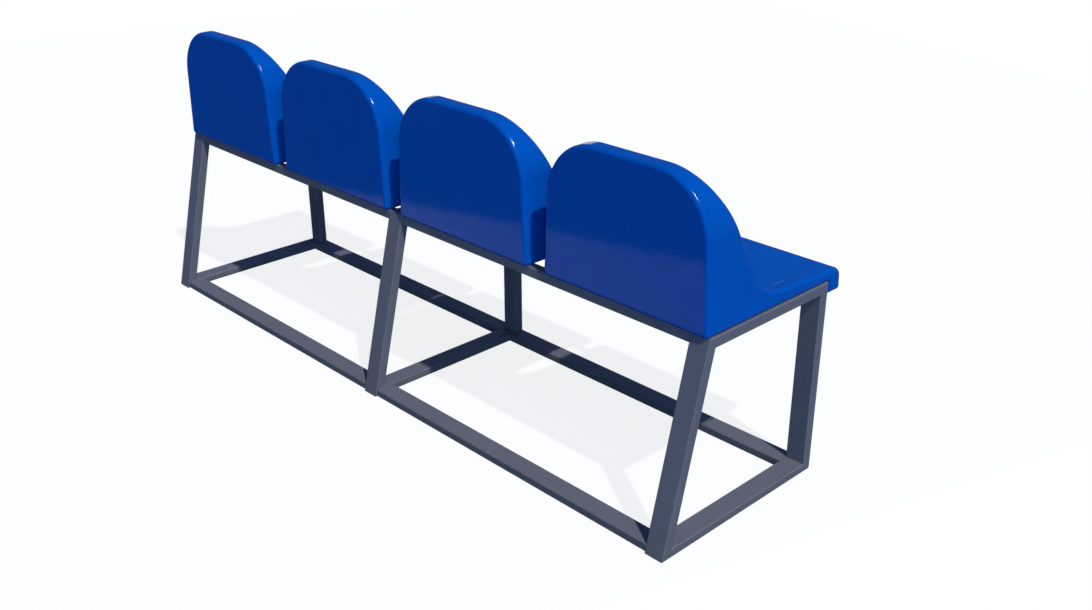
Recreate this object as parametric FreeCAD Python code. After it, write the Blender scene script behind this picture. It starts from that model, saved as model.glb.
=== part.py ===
import FreeCAD, Part
import math
import os

# Four-place grandstand bench: moulded bucket seats bolted to a welded frame of steel tube.
# Millimetres. X runs along the row, the seats face -Y and +Z is up.
# The origin lies on the floor, at the middle of the bench's length and depth.
# Left is -X and right is +X, as seen from in front of the seats.

# Frame
frame_end_margin = 2.0
frame_top_height = 470.0
frame_top_depth = 404.0
rear_leg_rake = 115.0
tube_width = 50.0
leg_depth = 25.0
top_bar_height = 25.0
top_rail_depth = 25.0
floor_bar_height = 20.0
floor_rail_width = 50.0
tube_wall = 2.0
tube_corner_radius = 3.0

# Moulded seat
seat_count = 4
seat_width = 460.0
seat_gap = 52.0
seat_wall = 4.0
seat_edge_radius = 10.0
foot_edge_radius = 8.0
foot_rim_width = 11.0
foot_rim_height = 9.0
side_draft_angle = 2.7
rear_overhang = 8.7
back_height = 322.0
back_top_thickness = 39.0
back_recline_angle = 26.0
back_corner_radius = 136.0
back_to_pan_radius = 106.0
pan_front_height = 22.0
pan_fall_angle = 3.2
front_edge_radius = 22.0
lip_overhang = 49.0
lip_drop = 30.0
lip_clearance = 3.0

# Hollow that the sitter fills
dish_depth = 6.0
dish_rim_width = 25.0
dish_fall_angle = 0.5
dish_floor_radius = 13.0

# Ribs under the seat
rib_thickness = 3.0
rib_floor_gap = 3.0
rib_rear_height = 30.0
rib_slope_run = 150.0
inner_rib_spacing = 100.0
cross_rib_from_rear = 289.0

# Seat fixings
fixing_spacing = 300.0
boss_diameter = 22.0
boss_height = 36.0
insert_diameter = 11.0
insert_length = 9.0
insert_fit = 0.05
bolt_diameter = 8.0
thread_clearance = 0.1
bolt_tip_gap = 1.0
bolt_hole_clearance = 0.5
bolt_head_diameter = 13.0
bolt_head_height = 8.0
bolt_key_across_flats = 6.0
bolt_key_depth = 4.0
washer_diameter = 16.0
washer_thickness = 1.6
access_clearance = 0.5

# Places worked out from the sizes above
seat_pitch = seat_width + seat_gap
frame_length = seat_count * seat_pitch - seat_gap + 2 * frame_end_margin
overall_depth = lip_overhang + frame_top_depth + rear_leg_rake
frame_front_y = lip_overhang - overall_depth / 2
frame_rear_y = frame_front_y + frame_top_depth
rear_foot_y = frame_rear_y + rear_leg_rake
top_under = frame_top_height - top_bar_height
leg_lean = rear_leg_rake / frame_top_height
seat_rear_y = frame_rear_y + rear_overhang
seat_depth = rear_overhang + frame_top_depth + lip_overhang
bolt_bore = bolt_diameter + 2 * thread_clearance
rail_seat = frame_top_height - tube_wall

# Spare length by which cutting shapes run past what they cut
past = 60.0

X_AXIS = FreeCAD.Vector(1, 0, 0)
Y_AXIS = FreeCAD.Vector(0, 1, 0)
Z_AXIS = FreeCAD.Vector(0, 0, 1)


def prism_along_x(points, x_low, x_high):
    """A prism across the bench from an outline of (y, z) points."""
    corners = [FreeCAD.Vector(x_low, y, z) for y, z in points]
    face = Part.Face(Part.makePolygon(corners + corners[:1]))
    return face.extrude(X_AXIS * (x_high - x_low))


def runs_along(edge, direction):
    run = edge.valueAt(edge.LastParameter) - edge.valueAt(edge.FirstParameter)
    return run.cross(direction).Length < 1e-6 * run.Length * direction.Length


def rounded_along(shape, direction, radius):
    return shape.makeFillet(radius, [edge for edge in shape.Edges if runs_along(edge, direction)])


# Welded frame


def between(start, end, share):
    return (start[0] + share * (end[0] - start[0]), start[1] + share * (end[1] - start[1]))


def mitred_tube(outer_ends, inner_ends, depth, x_low):
    """A tube of a welded loop. Each end lies on the line from an outer to an inner corner."""
    x_high = x_low + tube_width
    (y_start, z_start), (y_end, z_end) = outer_ends
    outline = [outer_ends[0], outer_ends[1], inner_ends[1], inner_ends[0]]
    run = FreeCAD.Vector(0, y_end - y_start, z_end - z_start)
    tube = rounded_along(prism_along_x(outline, x_low, x_high), run, tube_corner_radius)
    near = tube_wall / depth
    bore = [
        between(outer_ends[0], inner_ends[0], near),
        between(outer_ends[1], inner_ends[1], near),
        between(outer_ends[1], inner_ends[1], 1 - near),
        between(outer_ends[0], inner_ends[0], 1 - near),
    ]
    return tube.cut(prism_along_x(bore, x_low + tube_wall, x_high - tube_wall))


def loop_tubes(side, x_low):
    """One welded loop: a raked rear leg, a top bar, an upright front leg and a floor bar."""
    leg_run = leg_depth * math.hypot(1, leg_lean)
    rear_foot = (rear_foot_y, 0.0)
    rear_top = (frame_rear_y, frame_top_height)
    front_top = (frame_front_y, frame_top_height)
    front_foot = (frame_front_y, 0.0)
    inner_rear_foot = (rear_foot_y - leg_run - leg_lean * floor_bar_height, floor_bar_height)
    inner_rear_top = (rear_foot_y - leg_run - leg_lean * top_under, top_under)
    inner_front_top = (frame_front_y + leg_depth, top_under)
    inner_front_foot = (frame_front_y + leg_depth, floor_bar_height)
    members = {
        "rear_leg": ((rear_foot, rear_top), (inner_rear_foot, inner_rear_top), leg_depth),
        "top_bar": ((rear_top, front_top), (inner_rear_top, inner_front_top), top_bar_height),
        "front_leg": ((front_top, front_foot), (inner_front_top, inner_front_foot), leg_depth),
        "floor_bar": ((front_foot, rear_foot), (inner_front_foot, inner_rear_foot), floor_bar_height),
    }
    return {side + "_" + name: mitred_tube(*member, x_low) for name, member in members.items()}


def rectangle(y_low, z_low, depth, height, inset):
    y_high = y_low + depth - inset
    z_high = z_low + height - inset
    y_low += inset
    z_low += inset
    return [(y_low, z_low), (y_high, z_low), (y_high, z_high), (y_low, z_high)]


def rail(x_low, x_high, y_low, z_low, depth, height):
    """A straight rail between two loops, square ended against their sides."""
    section = rectangle(y_low, z_low, depth, height, 0.0)
    tube = rounded_along(prism_along_x(section, x_low, x_high), X_AXIS, tube_corner_radius)
    bore = rectangle(y_low, z_low, depth, height, tube_wall)
    return tube.cut(prism_along_x(bore, x_low, x_high))


def rails():
    """Floor rails and top rails, in a left and a right bay."""
    rear_floor_y = rear_foot_y - leg_lean * floor_bar_height - floor_rail_width
    rear_top_y = frame_rear_y - top_rail_depth
    places = {
        "rear_floor_rail": (rear_floor_y, 0.0, floor_rail_width, floor_bar_height),
        "front_floor_rail": (frame_front_y, 0.0, floor_rail_width, floor_bar_height),
        "rear_top_rail": (rear_top_y, top_under, top_rail_depth, top_bar_height),
        "front_top_rail": (frame_front_y, top_under, top_rail_depth, top_bar_height),
    }
    outer_x = frame_length / 2 - tube_width
    bays = {"left": (-outer_x, -tube_width / 2), "right": (tube_width / 2, outer_x)}
    made = {}
    for side, (x_low, x_high) in bays.items():
        for name, place in places.items():
            made[side + "_" + name] = rail(x_low, x_high, *place)
        for name in ("rear_top_rail", "front_top_rail"):
            made[side + "_" + name] = drilled(made[side + "_" + name])
    return made


# Seat fixings: each bolt goes in from below, its head stays inside the top rail
# and its thread reaches up into an insert in the seat.


def seat_centres():
    first = -seat_pitch * (seat_count - 1) / 2
    return [first + seat_pitch * number for number in range(seat_count)]


def fixings_of_seat():
    """X from the seat's middle, and Y, of each of its bolts."""
    rows = (frame_front_y + top_rail_depth / 2, frame_rear_y - top_rail_depth / 2)
    return [(side * fixing_spacing / 2, y) for side in (-1, 1) for y in rows]


def all_fixings():
    return [(centre + x, y) for centre in seat_centres() for x, y in fixings_of_seat()]


def pin(x, y, z_low, diameter, length):
    return Part.makeCylinder(diameter / 2, length, FreeCAD.Vector(x, y, z_low), Z_AXIS)


def ring(x, y, z_low, diameter, bore, length):
    return pin(x, y, z_low, diameter, length).cut(pin(x, y, z_low, bore, length))


def drilled(tube):
    """The top rail with a clear hole for each bolt, and a wider one below to pass its washer."""
    box = tube.BoundBox
    hole = bolt_diameter + 2 * bolt_hole_clearance
    access = washer_diameter + 2 * access_clearance
    holes = []
    for x, y in all_fixings():
        if box.XMin < x < box.XMax and box.YMin < y < box.YMax:
            holes.append(pin(x, y, rail_seat, hole, tube_wall))
            holes.append(pin(x, y, top_under, access, tube_wall))
    return tube.cut(holes)


def hexagon(x, y, z, across_flats):
    corner = across_flats / math.sqrt(3)
    turns = [math.radians(60 * step) for step in range(6)]
    corners = [FreeCAD.Vector(x + corner * math.cos(turn), y + corner * math.sin(turn), z) for turn in turns]
    return Part.Face(Part.makePolygon(corners + corners[:1]))


def socket_bolt(x, y):
    """A cap head bolt with a hexagon key recess, its head up against the washer."""
    base = rail_seat - washer_thickness - bolt_head_height
    length = frame_top_height + insert_length - bolt_tip_gap - base
    head = pin(x, y, base, bolt_head_diameter, bolt_head_height)
    bolt = head.fuse(pin(x, y, base, bolt_diameter, length)).removeSplitter()
    return bolt.cut(hexagon(x, y, base, bolt_key_across_flats).extrude(Z_AXIS * bolt_key_depth))


def washer(x, y):
    return ring(x, y, rail_seat - washer_thickness, washer_diameter, bolt_bore, washer_thickness)


def threaded_insert(x, y):
    return ring(x, y, frame_top_height, insert_diameter, bolt_bore, insert_length)


# Moulded seat, made about x = 0. In its side view a point is (forward, up):
# forward from the rear face, and up from the top of the frame.


def facing(angle):
    """Unit direction in the side view, turned up from straight forward by so many degrees."""
    return (math.cos(math.radians(angle)), math.sin(math.radians(angle)))


def moved(point, direction, distance):
    return (point[0] + direction[0] * distance, point[1] + direction[1] * distance)


def opposite(direction):
    return (-direction[0], -direction[1])


STRAIGHT_FORWARD = facing(0)
STRAIGHT_UP = facing(90)
BACK_NORMAL = facing(back_recline_angle)
PAN_NORMAL = facing(90 - pan_fall_angle)
DISH_NORMAL = facing(90 - dish_fall_angle)
SIDE_NORMAL = facing(side_draft_angle)


def side_point(point):
    return FreeCAD.Vector(-seat_width, seat_rear_y - point[0], frame_top_height + point[1])


def front_point(point):
    """A point of the front view, given as (sideways, up)."""
    return FreeCAD.Vector(point[0], seat_rear_y + past, frame_top_height + point[1])


def line(view, start, end):
    return Part.makeLine(view(start), view(end))


def arc(view, centre, radius, first, last):
    """The short arc between two unit directions from its centre."""
    middle = (first[0] + last[0], first[1] + last[1])
    reach = radius / math.hypot(*middle)
    ends = [moved(centre, first, radius), moved(centre, middle, reach), moved(centre, last, radius)]
    return Part.Arc(*[view(end) for end in ends]).toShape()


def closed_face(edges):
    return Part.Face(Part.Wire(edges))


def bend_centre():
    """Centre of the bend from back to pan, which lies the bend's radius in front of both."""
    a, b = BACK_NORMAL
    c, d = PAN_NORMAL
    back_reach = a * back_top_thickness + b * back_height + back_to_pan_radius
    pan_reach = c * seat_depth + d * pan_front_height + back_to_pan_radius
    scale = a * d - b * c
    return ((back_reach * d - b * pan_reach) / scale, (a * pan_reach - c * back_reach) / scale)


def front_edge_centre():
    """Centre of the rounded front edge, its radius behind the lip's front and below the pan."""
    forward = seat_depth - front_edge_radius
    c, d = PAN_NORMAL
    return (forward, pan_front_height + (c * front_edge_radius - front_edge_radius) / d)


def back_and_pan(depth, pan_normal, pan_end):
    """Back, bend and pan as one smooth line, so deep below the rim's surface."""
    centre = bend_centre()
    radius = back_to_pan_radius + depth
    back_low = moved(centre, BACK_NORMAL, -radius)
    pan_rear = moved(centre, pan_normal, -radius)
    rise = (back_height + past - back_low[1]) / BACK_NORMAL[0]
    back_high = moved(back_low, (-BACK_NORMAL[1], BACK_NORMAL[0]), rise)
    run = (pan_end - pan_rear[0]) / pan_normal[1]
    pan_front = moved(pan_rear, (pan_normal[1], -pan_normal[0]), run)
    edges = [
        line(side_point, back_high, back_low),
        arc(side_point, centre, radius, opposite(BACK_NORMAL), opposite(pan_normal)),
        line(side_point, pan_rear, pan_front),
    ]
    return edges, back_high, pan_front


def side_form(inset, underside):
    """The seat's side view carried across, moved in by an inset, on an underside of corners."""
    centre = front_edge_centre()
    radius = front_edge_radius - inset
    pan_end = moved(centre, PAN_NORMAL, radius)
    edges, back_high, _ = back_and_pan(inset, PAN_NORMAL, pan_end[0])
    edges.append(arc(side_point, centre, radius, PAN_NORMAL, STRAIGHT_FORWARD))
    corners = [moved(centre, STRAIGHT_FORWARD, radius)]
    corners += underside
    corners += [(inset, back_high[1]), back_high]
    edges += [line(side_point, start, end) for start, end in zip(corners, corners[1:])]
    return closed_face(edges).extrude(X_AXIS * 2 * seat_width)


def front_form(inset):
    """The seat's arched front view carried from back to front, moved in by an inset."""
    c, d = SIDE_NORMAL
    radius = back_corner_radius - inset
    centre_up = back_height - back_corner_radius
    centre_out = seat_width / 2 - (back_corner_radius + centre_up * d) / c
    low = -lip_drop - 2 * past
    centre = (centre_out, centre_up)
    mirrored = (-centre_out, centre_up)
    side_top = moved(centre, SIDE_NORMAL, radius)
    side_low = (side_top[0] + (side_top[1] - low) * d / c, low)
    left_normal = (-c, d)
    edges = [
        line(front_point, side_low, side_top),
        arc(front_point, centre, radius, SIDE_NORMAL, STRAIGHT_UP),
        line(front_point, moved(centre, STRAIGHT_UP, radius), moved(mirrored, STRAIGHT_UP, radius)),
        arc(front_point, mirrored, radius, STRAIGHT_UP, left_normal),
        line(front_point, moved(mirrored, left_normal, radius), (-side_low[0], low)),
        line(front_point, (-side_low[0], low), side_low),
    ]
    return closed_face(edges).extrude(Y_AXIS * -(seat_depth + 2 * past))


def face_normal(face):
    u_low, u_high, v_low, v_high = face.ParameterRange
    return face.normalAt((u_low + u_high) / 2, (v_low + v_high) / 2)


def is_wall(face):
    """True of a face from the front view: a side, an arched corner or the top."""
    normal = face_normal(face)
    above_pan = face.CenterOfMass.z > frame_top_height + back_height / 2
    return abs(normal.y) < 1e-6 and (abs(normal.x) > 1e-6 or above_pan)


def is_underneath(face):
    """True of a face that looks down, and of the step behind the lip."""
    normal = face_normal(face)
    behind_lip = normal.y > 0.5 and face.CenterOfMass.z < frame_top_height
    return normal.z < -0.5 or behind_lip


def rim_edges(body):
    """Edges where the sides and the top meet the rear, the back, the pan and the lip."""
    found = []
    for edge in body.Edges:
        faces = body.ancestorsOfType(edge, Part.Face)
        walls = [face for face in faces if is_wall(face)]
        others = [face for face in faces if not is_wall(face) and not is_underneath(face)]
        if walls and others:
            found.append(edge)
    return found


def foot_edges(body):
    """Edges around the underside, where it meets the rear, the sides and the lip's front."""
    found = []
    for edge in body.Edges:
        below = [is_underneath(face) for face in body.ancestorsOfType(edge, Part.Face)]
        if below.count(True) == 1 and below.count(False) == 1:
            found.append(edge)
    return found


def seat_body(inset, underside):
    """The seat's outer form, or the form of its hollow inside, with rounded edges."""
    body = side_form(inset, underside).common(front_form(inset)).Solids[0]
    return body.makeFillet(seat_edge_radius - inset, rim_edges(body))


def is_dish_floor(face):
    normal = face_normal(face)
    return abs(normal.x) < 1e-6 and normal.y > -0.1 and normal.z < -0.01


def is_dish_side(face):
    return abs(face_normal(face).y) < 1e-6


def dish(grow):
    """What is scooped out of the rim's surface for the sitter, grown outwards by so much.

    Its floor falls forwards less than the pan does, so it runs out on the pan before the front edge.
    """
    edges, back_high, pan_front = back_and_pan(dish_depth + grow, DISH_NORMAL, seat_depth)
    mouth = moved(pan_front, STRAIGHT_UP, past)
    top = moved(back_high, STRAIGHT_FORWARD, past)
    corners = [pan_front, mouth, top, back_high]
    edges += [line(side_point, start, end) for start, end in zip(corners, corners[1:])]
    block = closed_face(edges).extrude(X_AXIS * 2 * seat_width)
    block = block.common(front_form(dish_rim_width - grow)).Solids[0]
    floor_edges = []
    for edge in block.Edges:
        faces = block.ancestorsOfType(edge, Part.Face)
        if any(is_dish_floor(face) for face in faces) and any(is_dish_side(face) for face in faces):
            floor_edges.append(edge)
    return block.makeFillet(dish_floor_radius + grow, floor_edges)


def rib_along(x):
    """A rib from the rear wall to the lip: deep inside the back, shallow under the pan."""
    outline = [
        (-past, rib_rear_height),
        (0.0, rib_rear_height),
        (rib_slope_run, rib_floor_gap),
        (seat_depth, rib_floor_gap),
        (seat_depth, back_height),
        (-past, back_height),
    ]
    points = [(seat_rear_y - forward, frame_top_height + up) for forward, up in outline]
    return prism_along_x(points, x - rib_thickness / 2, x + rib_thickness / 2)


def rib_across():
    y = seat_rear_y - cross_rib_from_rear
    corner = FreeCAD.Vector(-seat_width, y - rib_thickness / 2, frame_top_height + rib_floor_gap)
    return Part.makeBox(2 * seat_width, rib_thickness, back_height, corner)


def rib_places():
    return [side * spacing / 2 for spacing in (inner_rib_spacing, fixing_spacing) for side in (-1, 1)]


def moulded_seat():
    """One seat: a hollow moulding, open below inside its thicker foot rim, with ribs and four bosses."""
    lip_rear = rear_overhang + frame_top_depth + lip_clearance
    rest = [(seat_depth, -lip_drop), (lip_rear, -lip_drop), (lip_rear, 0.0), (0.0, 0.0)]
    above_rim = [
        (seat_depth - seat_wall, foot_rim_height - lip_drop),
        (lip_rear + foot_rim_height, foot_rim_height - lip_drop),
        (lip_rear + foot_rim_height, foot_rim_height),
        (seat_wall, foot_rim_height),
    ]
    below = -lip_drop - past
    mouth = [(seat_depth - foot_rim_width, below), (foot_rim_width, below)]
    body = seat_body(0.0, rest)
    body = body.makeFillet(foot_edge_radius, foot_edges(body)).cut(dish(0.0))
    kept = [dish(seat_wall), rib_across()]
    kept += [rib_along(x) for x in rib_places()]
    holes = []
    for x, y in fixings_of_seat():
        kept.append(pin(x, y, frame_top_height, boss_diameter, boss_height))
        holes.append(pin(x, y, frame_top_height, insert_diameter + 2 * insert_fit, insert_length))
    opening = side_form(foot_rim_width, mouth).common(front_form(foot_rim_width))
    hollow = seat_body(seat_wall, above_rim).fuse(opening).cut(kept)
    return body.cut([hollow] + holes)


def group(make):
    return Part.makeCompound([make(x, y) for x, y in all_fixings()])


def build():
    nodes = {}
    for side, share in (("left", 0.0), ("middle", 0.5), ("right", 1.0)):
        nodes.update(loop_tubes(side, (frame_length - tube_width) * share - frame_length / 2))
    nodes.update(rails())
    seat = moulded_seat()
    for number, centre in enumerate(seat_centres(), start=1):
        nodes["seat_" + str(number)] = seat.translated(X_AXIS * centre)
    nodes["seat_bolts"] = group(socket_bolt)
    nodes["bolt_washers"] = group(washer)
    nodes["threaded_inserts"] = group(threaded_insert)
    return nodes


os.makedirs("parts", exist_ok=True)
for name, shape in build().items():
    shape.exportStep("parts/" + name + ".step")
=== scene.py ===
import math

import bmesh
import bpy
from mathutils import Matrix, Vector


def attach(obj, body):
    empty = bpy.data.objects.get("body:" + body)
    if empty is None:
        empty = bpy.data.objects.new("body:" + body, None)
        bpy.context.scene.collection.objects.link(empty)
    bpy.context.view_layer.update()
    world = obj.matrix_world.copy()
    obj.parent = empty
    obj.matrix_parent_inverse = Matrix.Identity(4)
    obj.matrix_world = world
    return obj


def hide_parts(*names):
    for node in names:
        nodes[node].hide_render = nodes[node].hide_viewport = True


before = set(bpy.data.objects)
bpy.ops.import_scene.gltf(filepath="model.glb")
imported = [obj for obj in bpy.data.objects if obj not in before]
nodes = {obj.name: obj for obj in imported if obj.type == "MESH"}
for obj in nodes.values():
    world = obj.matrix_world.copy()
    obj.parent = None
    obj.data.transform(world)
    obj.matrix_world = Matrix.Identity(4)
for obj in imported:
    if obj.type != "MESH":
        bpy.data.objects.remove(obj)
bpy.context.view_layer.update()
scene = bpy.context.scene
scene.view_settings.view_transform = "Standard"

MM = 0.001
SEATS = ["seat_1", "seat_2", "seat_3", "seat_4"]
HIDDEN_STEEL = ["seat_bolts", "bolt_washers"]
HIDDEN_BRASS = ["threaded_inserts"]
TUBES = sorted(set(nodes) - set(SEATS + HIDDEN_STEEL + HIDDEN_BRASS))


# Colours and nodes


def srgb(code, alpha=1.0):
    """A hex colour such as "1a2b3c" as linear values."""
    shares = [int(code[at:at + 2], 16) / 255 for at in (0, 2, 4)]
    linear = [s / 12.92 if s <= 0.04045 else ((s + 0.055) / 1.055) ** 2.4 for s in shares]
    return (*linear, alpha)


def add(tree, kind, inputs=None, **settings):
    """Adds a node. An input is a plain value, or the output of another node."""
    made = tree.nodes.new(kind)
    for name, value in settings.items():
        setattr(made, name, value)
    for name, value in (inputs or {}).items():
        if isinstance(value, bpy.types.NodeSocket):
            tree.links.new(value, made.inputs[name])
        else:
            made.inputs[name].default_value = value
    return made


def cells_per_metre(size_mm):
    """Noise scale that gives blotches of about this size."""
    return 1 / (size_mm * MM)


def start_material(name):
    """A new material, with its node tree, its shader and its place on the piece."""
    material = bpy.data.materials.new(name)
    material.use_nodes = True
    tree = material.node_tree
    place = add(tree, "ShaderNodeTexCoord").outputs["Object"]
    return material, tree, tree.nodes["Principled BSDF"], place


# Glossy injection-moulded polypropylene, coloured through. The polished mould leaves a clear gloss,
# with a faint ripple where the melt cooled, and cleaning cloths leave it a little duller in patches.
def moulded_polypropylene():
    material, tree, shader, place = start_material("moulded_polypropylene_blue")
    ripple = add(tree, "ShaderNodeTexNoise", {
        "Vector": place, "Scale": cells_per_metre(60), "Detail": 2.0})
    tint = add(tree, "ShaderNodeMix", {
        "Factor": ripple.outputs["Fac"], "A": srgb("004ca2"), "B": srgb("0052aa")},
        data_type="RGBA")
    wiped = add(tree, "ShaderNodeTexNoise", {
        "Vector": place, "Scale": cells_per_metre(25), "Detail": 4.0})
    dull = add(tree, "ShaderNodeMapRange", {
        "Value": wiped.outputs["Fac"], "From Min": 0.3, "From Max": 0.7, "To Min": 0.06, "To Max": 0.1})
    bump = add(tree, "ShaderNodeBump", {
        "Height": ripple.outputs["Fac"], "Strength": 0.06, "Distance": 2 * MM})
    tree.links.new(tint.outputs["Result"], shader.inputs["Base Color"])
    tree.links.new(dull.outputs["Result"], shader.inputs["Roughness"])
    tree.links.new(bump.outputs["Normal"], shader.inputs["Normal"])
    shader.inputs["IOR"].default_value = 1.49
    shader.inputs["Specular IOR Level"].default_value = 0.125
    return material


# Anthracite powder coat baked on steel tube. The melted powder leaves a fine orange peel
# about 2 mm across, a satin gloss and a slightly uneven tone.
def powder_coat():
    material, tree, shader, place = start_material("anthracite_powder_coat")
    cloud = add(tree, "ShaderNodeTexNoise", {
        "Vector": place, "Scale": cells_per_metre(90), "Detail": 3.0})
    tint = add(tree, "ShaderNodeMix", {
        "Factor": cloud.outputs["Fac"], "A": srgb("5e6069"), "B": srgb("66696f")},
        data_type="RGBA")
    peel = add(tree, "ShaderNodeTexNoise", {
        "Vector": place, "Scale": cells_per_metre(2), "Detail": 1.0})
    satin = add(tree, "ShaderNodeMapRange", {
        "Value": peel.outputs["Fac"], "From Min": 0.3, "From Max": 0.7, "To Min": 0.42, "To Max": 0.5})
    bump = add(tree, "ShaderNodeBump", {
        "Height": peel.outputs["Fac"], "Strength": 0.12, "Distance": 0.3 * MM})
    tree.links.new(tint.outputs["Result"], shader.inputs["Base Color"])
    tree.links.new(satin.outputs["Result"], shader.inputs["Roughness"])
    tree.links.new(bump.outputs["Normal"], shader.inputs["Normal"])
    shader.inputs["Specular IOR Level"].default_value = 0.25
    return material


# Bright zinc plate on cold-formed steel, slightly clouded.
def zinc_plate():
    material, tree, shader, place = start_material("bright_zinc_plate")
    cloud = add(tree, "ShaderNodeTexNoise", {
        "Vector": place, "Scale": cells_per_metre(3), "Detail": 3.0})
    tint = add(tree, "ShaderNodeMix", {
        "Factor": cloud.outputs["Fac"], "A": srgb("b9bdc1"), "B": srgb("d3d6d8")},
        data_type="RGBA")
    haze = add(tree, "ShaderNodeMapRange", {
        "Value": cloud.outputs["Fac"], "To Min": 0.25, "To Max": 0.45})
    tree.links.new(tint.outputs["Result"], shader.inputs["Base Color"])
    tree.links.new(haze.outputs["Result"], shader.inputs["Roughness"])
    shader.inputs["Metallic"].default_value = 1.0
    return material


# Turned brass, with fine tool marks that only show as a varied sheen.
def turned_brass():
    material, tree, shader, place = start_material("turned_brass")
    marks = add(tree, "ShaderNodeTexNoise", {
        "Vector": place, "Scale": cells_per_metre(1.5), "Detail": 2.0})
    tint = add(tree, "ShaderNodeMix", {
        "Factor": marks.outputs["Fac"], "A": srgb("b8923f"), "B": srgb("cfab5c")},
        data_type="RGBA")
    sheen = add(tree, "ShaderNodeMapRange", {
        "Value": marks.outputs["Fac"], "To Min": 0.2, "To Max": 0.4})
    tree.links.new(tint.outputs["Result"], shader.inputs["Base Color"])
    tree.links.new(sheen.outputs["Result"], shader.inputs["Roughness"])
    shader.inputs["Metallic"].default_value = 1.0
    return material


# Pieces

# Triangle corners nearer than this are one corner, and edges that bend more stay crisp.
SAME_CORNER = 0.005 * MM
SEAT_CREASE = math.radians(40)
TUBE_CREASE = math.radians(50)


def smooth_copy(node, name, material, crease):
    """The node's own shape with its triangles joined, so that its curves shade smoothly."""
    mesh = nodes[node].data.copy()
    mesh.name = name
    shape = bmesh.new()
    shape.from_mesh(mesh)
    bmesh.ops.remove_doubles(shape, verts=shape.verts, dist=SAME_CORNER)
    for face in shape.faces:
        face.smooth = True
    for edge in shape.edges:
        edge.smooth = edge.is_manifold and edge.calc_face_angle() < crease
    shape.to_mesh(mesh)
    shape.free()
    mesh.materials.clear()
    mesh.materials.append(material)
    piece = bpy.data.objects.new(name, mesh)
    scene.collection.objects.link(piece)
    level = piece.modifiers.new("even_shading", "WEIGHTED_NORMAL")
    level.keep_sharp = True
    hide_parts(node)
    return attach(piece, "root")


seat_finish = moulded_polypropylene()
frame_finish = powder_coat()
for node in SEATS:
    smooth_copy(node, "moulded_" + node, seat_finish, SEAT_CREASE)
for node in TUBES:
    smooth_copy(node, "painted_" + node, frame_finish, TUBE_CREASE)
for names, finish in ((HIDDEN_STEEL, zinc_plate()), (HIDDEN_BRASS, turned_brass())):
    for node in names:
        nodes[node].data.materials.clear()
        nodes[node].data.materials.append(finish)


# Floor, light and camera

WHITE = srgb("ffffff")
SKY_BLUE = srgb("a7d6ff")
PALE_BLUE = srgb("c9dcff")

# Edges of the floor sheet as distances from the origin, before it is turned a little.
# It lies just under the feet, and its rear edge ends the paler band that the glossy seat backs mirror.
SHEET_LEFT = -1.1
SHEET_RIGHT = 5.0
SHEET_FRONT = -4.0
SHEET_REAR = 1.317
SHEET_TURN = math.radians(-16.9)
SHEET_LEVEL = -0.2 * MM

# Gloss mirrors the sheet as white only behind the object, coming in between these two depths.
MIRROR_START = 0.6
MIRROR_FULL = 0.8

# The camera sees this share of the sheet as its own glow, and the rest lit by the lamps, with shadows.
# The object is lit by it as by a dim grey.
GLOW_SHARE = 0.85
DIM_PAPER = srgb("5c6064")

# The room round the sheet gives a little soft blue light, from below and from above.
GROUND_TONE = srgb("3d4d85")
CEILING_TONE = srgb("3a497f")
HORIZON_BLUR = 0.05

# White paper hangs behind the object. Gloss mirrors it near the camera's level line of sight.
PAPER_CENTRE = (0.720, -0.694, 0.0)
PAPER_REACH = math.cos(math.radians(8))

# Directions towards the lamps. The shadows in the photo give the main lamp's.
MAIN_LAMP = (-0.545, 0.132, 0.828)
REAR_FILL = (-0.77, 0.59, 0.24)
FRONT_FILL = (0.448, -0.887, 0.078)

# The camera, solved from the straight edges of the frame in the photo
SENSOR_WIDTH = 36.0
LENS = 38.917
CAMERA_PLACE = (-2.25729, 1.82380, 1.48476)
CAMERA_TURN = (65.4203, 0.1040, -133.9892)


def background_share(tree, mirrored_share):
    """1 for rays from the camera, and so much for those that gloss or glass sends on."""
    path = add(tree, "ShaderNodeLightPath").outputs
    sent_on = add(
        tree, "ShaderNodeMath",
        {0: path["Is Glossy Ray"], 1: path["Is Transmission Ray"]}, operation="MAXIMUM")
    mirrored = add(
        tree, "ShaderNodeMath",
        {0: sent_on.outputs["Value"], 1: mirrored_share}, operation="MULTIPLY")
    either = add(
        tree, "ShaderNodeMath",
        {0: path["Is Camera Ray"], 1: mirrored.outputs["Value"]}, operation="MAXIMUM")
    return either.outputs["Value"]


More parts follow.
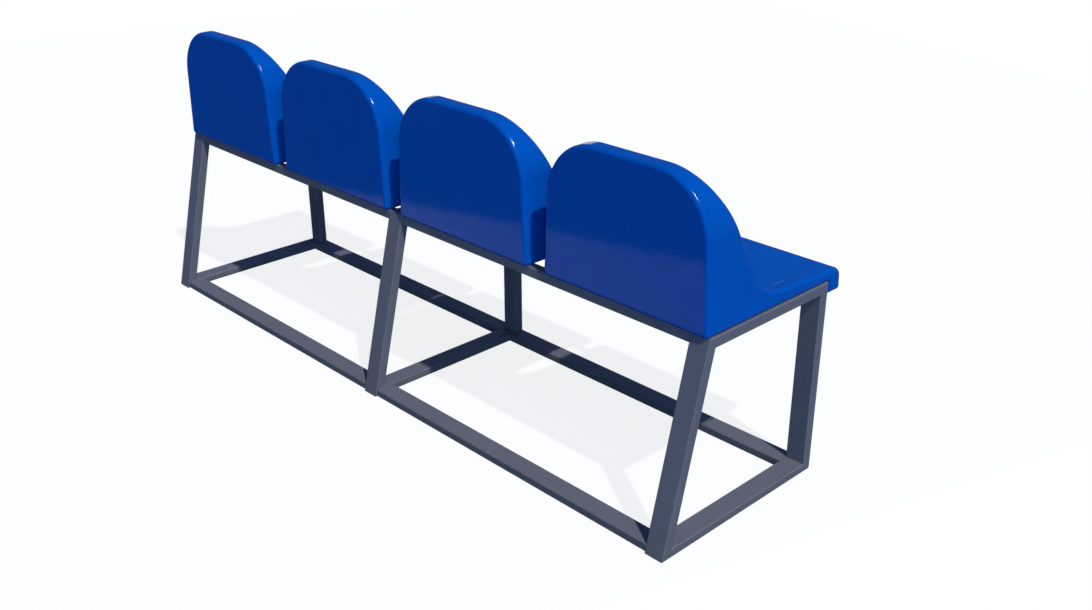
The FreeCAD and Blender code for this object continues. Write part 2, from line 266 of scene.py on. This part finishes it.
# Matt white paper that glows for the camera, so that its shadows stay pale.
# From below it is clear, so that the underside of the object shows.
def pale_floor():
    material, tree, shader, place = start_material("pale_floor")
    shader.inputs["Base Color"].default_value = WHITE
    shader.inputs["Roughness"].default_value = 0.9
    shader.inputs["Specular IOR Level"].default_value = 0.0
    white = add(tree, "ShaderNodeEmission", {"Color": WHITE, "Strength": 1.0})
    dim = add(tree, "ShaderNodeBsdfDiffuse", {"Color": DIM_PAPER})
    path = add(tree, "ShaderNodeLightPath").outputs
    glow = add(tree, "ShaderNodeMath", {0: path["Is Camera Ray"], 1: GLOW_SHARE}, operation="MULTIPLY")
    seen = add(tree, "ShaderNodeMixShader", {
        0: glow.outputs["Value"], 1: shader.outputs["BSDF"], 2: white.outputs["Emission"]})
    depth = add(tree, "ShaderNodeSeparateXYZ", {"Vector": place}).outputs["Y"]
    rear_part = add(tree, "ShaderNodeMapRange", {
        "Value": depth, "From Min": MIRROR_START, "From Max": MIRROR_FULL}).outputs["Result"]
    paper = add(tree, "ShaderNodeMixShader", {
        0: background_share(tree, rear_part), 1: dim.outputs["BSDF"], 2: seen.outputs["Shader"]})
    clear = add(tree, "ShaderNodeBsdfTransparent")
    from_below = add(tree, "ShaderNodeNewGeometry").outputs["Backfacing"]
    final = add(tree, "ShaderNodeMixShader", {
        0: from_below, 1: paper.outputs["Shader"], 2: clear.outputs["BSDF"]})
    tree.links.new(final.outputs["Shader"], tree.nodes["Material Output"].inputs["Surface"])
    return material


floor_mesh = bpy.data.meshes.new("floor")
sheet_size = (SHEET_RIGHT - SHEET_LEFT, SHEET_REAR - SHEET_FRONT, 1)
sheet_middle = ((SHEET_RIGHT + SHEET_LEFT) / 2, (SHEET_REAR + SHEET_FRONT) / 2, SHEET_LEVEL)
sheet_turn = Matrix.Rotation(SHEET_TURN, 3, "Z")
sheet = bmesh.new()
bmesh.ops.create_grid(sheet, x_segments=1, y_segments=1, size=0.5)
bmesh.ops.scale(sheet, verts=sheet.verts, vec=sheet_size)
bmesh.ops.translate(sheet, verts=sheet.verts, vec=sheet_middle)
bmesh.ops.rotate(sheet, verts=sheet.verts, cent=(0, 0, 0), matrix=sheet_turn)
sheet.to_mesh(floor_mesh)
sheet.free()
floor_mesh.materials.append(pale_floor())
floor = bpy.data.objects.new("floor", floor_mesh)
scene.collection.objects.link(floor)


def add_lamp(name, towards, strength, spread, colour, lights=True, mirrored=True):
    """A far lamp, with its spread in degrees.

    One that only lights isn't mirrored in gloss, and one that is only mirrored lights nothing.
    """
    lamp = bpy.data.lights.new(name, "SUN")
    lamp.energy = strength
    lamp.angle = math.radians(spread)
    lamp.color = colour[:3]
    lamp_object = bpy.data.objects.new(name, lamp)
    lamp_object.rotation_euler = Vector(towards).to_track_quat("Z", "Y").to_euler()
    lamp_object.visible_diffuse = lights
    lamp_object.visible_glossy = mirrored
    scene.collection.objects.link(lamp_object)


# The main lamp throws the shadows, the glint gives gloss a wider lamp to mirror,
# and the fills light what the main lamp leaves in shade.
add_lamp("main_lamp", MAIN_LAMP, strength=2.85, spread=1.5, colour=WHITE)
add_lamp("glint", MAIN_LAMP, strength=5.1, spread=16, colour=WHITE, lights=False)
add_lamp("rear_fill", REAR_FILL, strength=1.42, spread=60, colour=SKY_BLUE, mirrored=False)
add_lamp("front_fill", FRONT_FILL, strength=2.1, spread=10, colour=PALE_BLUE, mirrored=False)

world = bpy.data.worlds.new("studio")
scene.world = world
world.use_nodes = True
room = world.node_tree
way = add(room, "ShaderNodeTexCoord").outputs["Generated"]
height = add(room, "ShaderNodeSeparateXYZ", {"Vector": way}).outputs["Z"]
above = add(room, "ShaderNodeMapRange", {
    "Value": height, "From Min": -HORIZON_BLUR, "From Max": HORIZON_BLUR}).outputs["Result"]
tone = add(
    room, "ShaderNodeMix", {"Factor": above, "A": GROUND_TONE, "B": CEILING_TONE}, data_type="RGBA")
soft_light = add(room, "ShaderNodeBackground", {"Color": tone.outputs["Result"], "Strength": 1.0})
aim = add(
    room, "ShaderNodeVectorMath", {0: way, 1: PAPER_CENTRE}, operation="DOT_PRODUCT").outputs["Value"]
on_paper = add(
    room, "ShaderNodeMath", {0: aim, 1: PAPER_REACH}, operation="GREATER_THAN").outputs["Value"]
paper = add(room, "ShaderNodeBackground", {"Color": WHITE, "Strength": 1.0})
backdrop = add(room, "ShaderNodeMixShader", {
    0: background_share(room, on_paper), 1: soft_light.outputs["Background"], 2: paper.outputs["Background"]})
room.links.new(backdrop.outputs["Shader"], room.nodes["World Output"].inputs["Surface"])

camera = bpy.data.cameras.new("photo_view")
camera.sensor_width = SENSOR_WIDTH
camera.lens = LENS
camera_object = bpy.data.objects.new("photo_view", camera)
camera_object.location = CAMERA_PLACE
camera_object.rotation_euler = [math.radians(turn) for turn in CAMERA_TURN]
scene.collection.objects.link(camera_object)
scene.camera = camera_object
